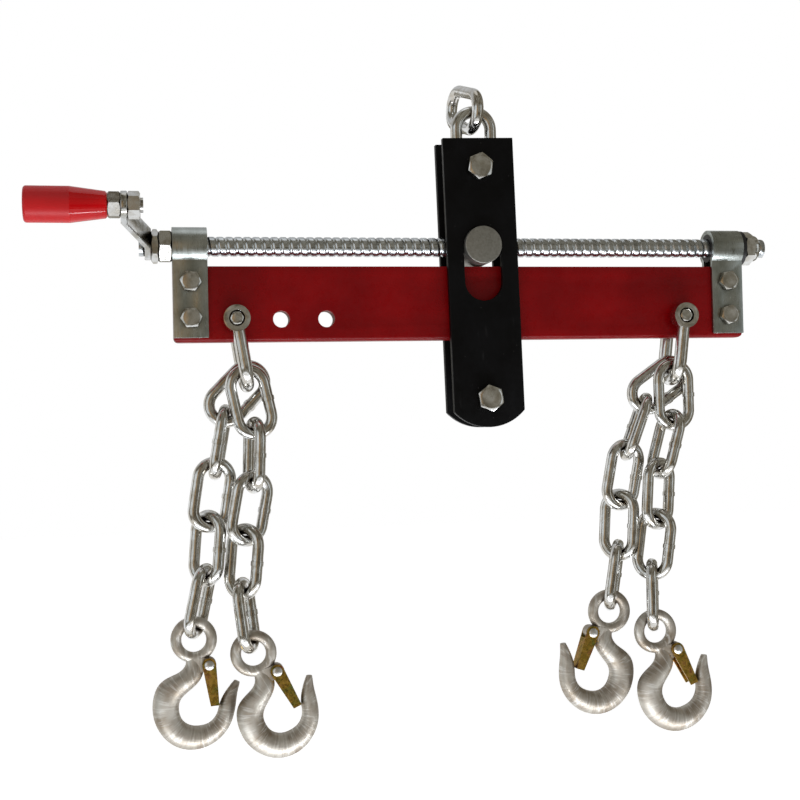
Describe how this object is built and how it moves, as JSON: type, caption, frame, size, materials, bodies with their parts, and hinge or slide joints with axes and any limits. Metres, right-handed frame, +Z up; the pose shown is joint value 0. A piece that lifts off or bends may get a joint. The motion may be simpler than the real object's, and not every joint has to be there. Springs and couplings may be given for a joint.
{
  "type": "engine load leveler",
  "caption": "Engine load leveler: a red bar whose crank-turned screw shifts the lifting carriage along it, with short shackled chains and latched hooks under its ends.",
  "frame": {"origin": "inside of the free end of the upper lift link, where the crane hook bears", "axes": "+X along the beam away from the crank, +Z up, -Y the side with the bolt heads that faces the viewer"},
  "size_m": [0.5391, 0.0932, 0.4847],
  "materials": {
    "red_paint": "smooth red paint",
    "black_paint": "satin black paint",
    "red_plastic": "moulded red plastic",
    "black_bush": "matt black moulding",
    "plain_steel": "turned steel",
    "bright_zinc": "bright zinc plating",
    "forged_zinc": "galvanised forging",
    "yellow_zinc": "yellow zinc plating"
  },
  "bodies": {
    "beam": {"lifting_beam": "red_paint", "left_strap": "bright_zinc", "right_strap": "bright_zinc", "strap_bolts": "bright_zinc", "strap_nuts": "bright_zinc", "screw_bushes": "black_bush"},
    "screw": {"lead_screw": "bright_zinc", "crank_nuts": "bright_zinc", "lock_nut": "bright_zinc", "crank_arm": "bright_zinc", "grip_bolt": "bright_zinc", "grip_nuts": "bright_zinc"},
    "grip": {"crank_grip": "red_plastic"},
    "trunnion": {"trunnion_nut": "plain_steel"},
    "carriage": {"front_plate": "black_paint", "rear_plate": "black_paint", "carriage_bolts": "bright_zinc", "carriage_nuts": "bright_zinc"},
    "roller": {"carriage_roller": "plain_steel"},
    "lower_link": {"lower_lift_link": "bright_zinc"},
    "upper_link": {"upper_lift_link": "bright_zinc"},
    "left_shackle": {"left_shackle_bow": "bright_zinc", "left_shackle_pin": "bright_zinc"},
    "right_shackle": {"right_shackle_bow": "bright_zinc", "right_shackle_pin": "bright_zinc"},
    "left_rear_link_1": {"left_rear_link_1": "bright_zinc"},
    "left_rear_link_2": {"left_rear_link_2": "bright_zinc"},
    "left_rear_link_3": {"left_rear_link_3": "bright_zinc"},
    "left_rear_link_4": {"left_rear_link_4": "bright_zinc"},
    "left_rear_link_5": {"left_rear_link_5": "bright_zinc"},
    "left_rear_hook": {"left_rear_hook": "forged_zinc", "left_rear_rivet": "yellow_zinc"},
    "left_rear_latch": {"left_rear_latch": "yellow_zinc"},
    "left_front_link_1": {"left_front_link_1": "bright_zinc"},
    "left_front_link_2": {"left_front_link_2": "bright_zinc"},
    "left_front_link_3": {"left_front_link_3": "bright_zinc"},
    "left_front_link_4": {"left_front_link_4": "bright_zinc"},
    "left_front_link_5": {"left_front_link_5": "bright_zinc"},
    "left_front_hook": {"left_front_hook": "forged_zinc", "left_front_rivet": "yellow_zinc"},
    "left_front_latch": {"left_front_latch": "yellow_zinc"},
    "right_rear_link_1": {"right_rear_link_1": "bright_zinc"},
    "right_rear_link_2": {"right_rear_link_2": "bright_zinc"},
    "right_rear_link_3": {"right_rear_link_3": "bright_zinc"},
    "right_rear_link_4": {"right_rear_link_4": "bright_zinc"},
    "right_rear_link_5": {"right_rear_link_5": "bright_zinc"},
    "right_rear_hook": {"right_rear_hook": "forged_zinc", "right_rear_rivet": "yellow_zinc"},
    "right_rear_latch": {"right_rear_latch": "yellow_zinc"},
    "right_front_link_1": {"right_front_link_1": "bright_zinc"},
    "right_front_link_2": {"right_front_link_2": "bright_zinc"},
    "right_front_link_3": {"right_front_link_3": "bright_zinc"},
    "right_front_link_4": {"right_front_link_4": "bright_zinc"},
    "right_front_link_5": {"right_front_link_5": "bright_zinc"},
    "right_front_hook": {"right_front_hook": "forged_zinc", "right_front_rivet": "yellow_zinc"},
    "right_front_latch": {"right_front_latch": "yellow_zinc"}
  },
  "joints": [
    {"name": "crank_turn", "type": "hinge", "parent": "beam", "child": "screw", "pos_m": [0.00648, -0.03697, -0.11136], "axis": [-1, 0, 0], "range_deg": [-6970, 4532]},
    {"name": "traverse", "type": "slide", "parent": "beam", "child": "trunnion", "axis": [1, 0, 0], "range_m": [-0.123, 0.08]},
    {"name": "grip_spin", "type": "hinge", "parent": "screw", "child": "grip", "pos_m": [-0.25642, -0.07219, -0.08849], "axis": [-1, 0, 0], "continuous": true},
    {"name": "carriage_tilt", "type": "hinge", "parent": "trunnion", "child": "carriage", "pos_m": [0.00648, -0.03697, -0.11136], "axis": [0, 1, 0], "range_deg": [-35, 35]},
    {"name": "roller_spin", "type": "hinge", "parent": "carriage", "child": "roller", "pos_m": [0.00898, -0.03697, -0.22154], "axis": [0, 1, 0], "continuous": true},
    {"name": "lower_link_swing", "type": "hinge", "parent": "carriage", "child": "lower_link", "pos_m": [0.00519, -0.03697, -0.05488], "axis": [0, 1, 0], "range_deg": [-28, 28]},
    {"name": "upper_link_swing", "type": "hinge", "parent": "lower_link", "child": "upper_link", "pos_m": [0.00519, -0.03697, -0.01213], "axis": [0.9903, 0.1392, 0], "range_deg": [-10, 150]},
    {"name": "left_shackle_swing", "type": "hinge", "parent": "beam", "child": "left_shackle", "pos_m": [-0.17052, -0.03697, -0.16306], "axis": [0, -1, 0], "range_deg": [-25, 25]},
    {"name": "right_shackle_swing", "type": "hinge", "parent": "beam", "child": "right_shackle", "pos_m": [0.15898, -0.03697, -0.16306], "axis": [0, -1, 0], "range_deg": [-25, 25]},
    {"name": "left_rear_link_1_swing", "type": "hinge", "parent": "left_shackle", "child": "left_rear_link_1", "pos_m": [-0.16339, -0.03127, -0.20813], "axis": [0, -1, 0], "range_deg": [-20, 0]},
    {"name": "left_rear_link_2_swing", "type": "hinge", "parent": "left_rear_link_1", "child": "left_rear_link_2", "pos_m": [-0.17974, -0.03127, -0.23434], "axis": [-0.9839, 0, 0.1788], "range_deg": [-25, 0]},
    {"name": "left_rear_link_3_swing", "type": "hinge", "parent": "left_rear_link_2", "child": "left_rear_link_3", "pos_m": [-0.18644, -0.03123, -0.27124], "axis": [0.1562, 0.9874, -0.025], "range_deg": [0, 12]},
    {"name": "left_rear_link_4_swing", "type": "hinge", "parent": "left_rear_link_3", "child": "left_rear_link_4", "pos_m": [-0.19158, -0.031, -0.30836], "axis": [-0.9573, -0.2766, 0.0838], "range_deg": [-12, 0]},
    {"name": "left_rear_link_5_swing", "type": "hinge", "parent": "left_rear_link_4", "child": "left_rear_link_5", "pos_m": [-0.19553, -0.03023, -0.34562], "axis": [-0.6522, 0.7444, 0.1432], "range_deg": [-15, 13]},
    {"name": "left_rear_hook_swing", "type": "hinge", "parent": "left_rear_link_5", "child": "left_rear_hook", "pos_m": [-0.2032, -0.0294, -0.38229], "axis": [0.4156, 0.9094, -0.0134], "range_deg": [-1, 25]},
    {"name": "left_rear_latch_open", "type": "hinge", "parent": "left_rear_hook", "child": "left_rear_latch", "pos_m": [-0.19308, -0.02944, -0.40412], "axis": [0.003, 1, -0.0004], "range_deg": [0, 22], "stiffness_Nm_per_rad": 0.03, "springref_deg": -28.65},
    {"name": "left_front_link_1_swing", "type": "hinge", "parent": "left_shackle", "child": "left_front_link_1", "pos_m": [-0.1633, -0.04117, -0.20865], "axis": [0, -1, 0], "range_deg": [0, 25]},
    {"name": "left_front_link_2_swing", "type": "hinge", "parent": "left_front_link_1", "child": "left_front_link_2", "pos_m": [-0.15894, -0.04139, -0.24364], "axis": [-0.9964, -0.0761, 0.0382], "range_deg": [0, 25]},
    {"name": "left_front_link_3_swing", "type": "hinge", "parent": "left_front_link_2", "child": "left_front_link_3", "pos_m": [-0.1605, -0.04093, -0.28109], "axis": [-0.2496, 0.9671, 0.0488], "range_deg": [-25, 0.5]},
    {"name": "left_front_link_4_swing", "type": "hinge", "parent": "left_front_link_3", "child": "left_front_link_4", "pos_m": [-0.16672, -0.04048, -0.31804], "axis": [-0.8997, -0.4279, 0.0865], "range_deg": [0, 20]},
    {"name": "left_front_link_5_swing", "type": "hinge", "parent": "left_front_link_4", "child": "left_front_link_5", "pos_m": [-0.16899, -0.04176, -0.35535], "axis": [0.7166, -0.6922, 0.0856], "range_deg": [-15, 15]},
    {"name": "left_front_hook_swing", "type": "hinge", "parent": "left_front_link_5", "child": "left_front_hook", "pos_m": [-0.16411, -0.04075, -0.39249], "axis": [0.3648, 0.9216, 0.1326], "range_deg": [-22, 1]},
    {"name": "left_front_latch_open", "type": "hinge", "parent": "left_front_hook", "child": "left_front_latch", "pos_m": [-0.14671, -0.04069, -0.4091], "axis": [-0.0017, 1, 0.0018], "range_deg": [0, 22], "stiffness_Nm_per_rad": 0.03, "springref_deg": -28.65},
    {"name": "right_rear_link_1_swing", "type": "hinge", "parent": "right_shackle", "child": "right_rear_link_1", "pos_m": [0.15342, -0.03127, -0.20835], "axis": [0, -1, 0], "range_deg": [-15, 0]},
    {"name": "right_rear_link_2_swing", "type": "hinge", "parent": "right_rear_link_1", "child": "right_rear_link_2", "pos_m": [0.13229, -0.03127, -0.23103], "axis": [-0.9311, 0, 0.3649], "range_deg": [-2.5, 0]},
    {"name": "right_rear_link_3_swing", "type": "hinge", "parent": "right_rear_link_2", "child": "right_rear_link_3", "pos_m": [0.11867, -0.03091, -0.26596], "axis": [0.1711, 0.9847, -0.0345], "range_deg": [0, 25]},
    {"name": "right_rear_link_4_swing", "type": "hinge", "parent": "right_rear_link_3", "child": "right_rear_link_4", "pos_m": [0.11276, -0.03055, -0.30293], "axis": [-0.967, -0.246, 0.0662], "range_deg": [-10, 0]},
    {"name": "right_rear_link_5_swing", "type": "hinge", "parent": "right_rear_link_4", "child": "right_rear_link_5", "pos_m": [0.1097, -0.02997, -0.34028], "axis": [-0.6373, 0.7629, 0.1086], "range_deg": [-15, 15]},
    {"name": "right_rear_hook_swing", "type": "hinge", "parent": "right_rear_link_5", "child": "right_rear_hook", "pos_m": [0.10326, -0.03025, -0.37722], "axis": [0.4281, 0.8984, -0.0983], "range_deg": [-1, 13]},
    {"name": "right_rear_latch_open", "type": "hinge", "parent": "right_rear_hook", "child": "right_rear_latch", "pos_m": [0.08793, -0.03023, -0.39577], "axis": [-0.0026, -1, 0.0009], "range_deg": [0, 22], "stiffness_Nm_per_rad": 0.03, "springref_deg": -28.65},
    {"name": "right_front_link_1_swing", "type": "hinge", "parent": "right_shackle", "child": "right_front_link_1", "pos_m": [0.15335, -0.04117, -0.20887], "axis": [0, -1, 0], "range_deg": [0, 25]},
    {"name": "right_front_link_2_swing", "type": "hinge", "parent": "right_front_link_1", "child": "right_front_link_2", "pos_m": [0.15015, -0.04143, -0.24391], "axis": [-0.9584, -0.077, 0.2748], "range_deg": [0, 25]},
    {"name": "right_front_link_3_swing", "type": "hinge", "parent": "right_front_link_2", "child": "right_front_link_3", "pos_m": [0.13993, -0.04195, -0.27997], "axis": [-0.2173, 0.976, 0.0155], "range_deg": [-25, 0.5]},
    {"name": "right_front_link_4_swing", "type": "hinge", "parent": "right_front_link_3", "child": "right_front_link_4", "pos_m": [0.1366, -0.04233, -0.31731], "axis": [-0.8718, -0.4727, 0.1287], "range_deg": [0, 20]},
    {"name": "right_front_link_5_swing", "type": "hinge", "parent": "right_front_link_4", "child": "right_front_link_5", "pos_m": [0.13191, -0.04318, -0.35446], "axis": [-0.677, 0.736, 0.0017], "range_deg": [-13, 15]},
    {"name": "right_front_hook_swing", "type": "hinge", "parent": "right_front_link_5", "child": "right_front_hook", "pos_m": [0.13241, -0.04184, -0.39187], "axis": [0.3976, 0.9097, 0.1197], "range_deg": [-12, 1]},
    {"name": "right_front_latch_open", "type": "hinge", "parent": "right_front_hook", "child": "right_front_latch", "pos_m": [0.14898, -0.04198, -0.40932], "axis": [0.0108, 0.9999, 0.0025], "range_deg": [0, 22], "stiffness_Nm_per_rad": 0.03, "springref_deg": -28.65}
  ],
  "couplings": [
    {"joint": "traverse", "follows": "crank_turn", "m_per_rad": 0.0010106}
  ]
}
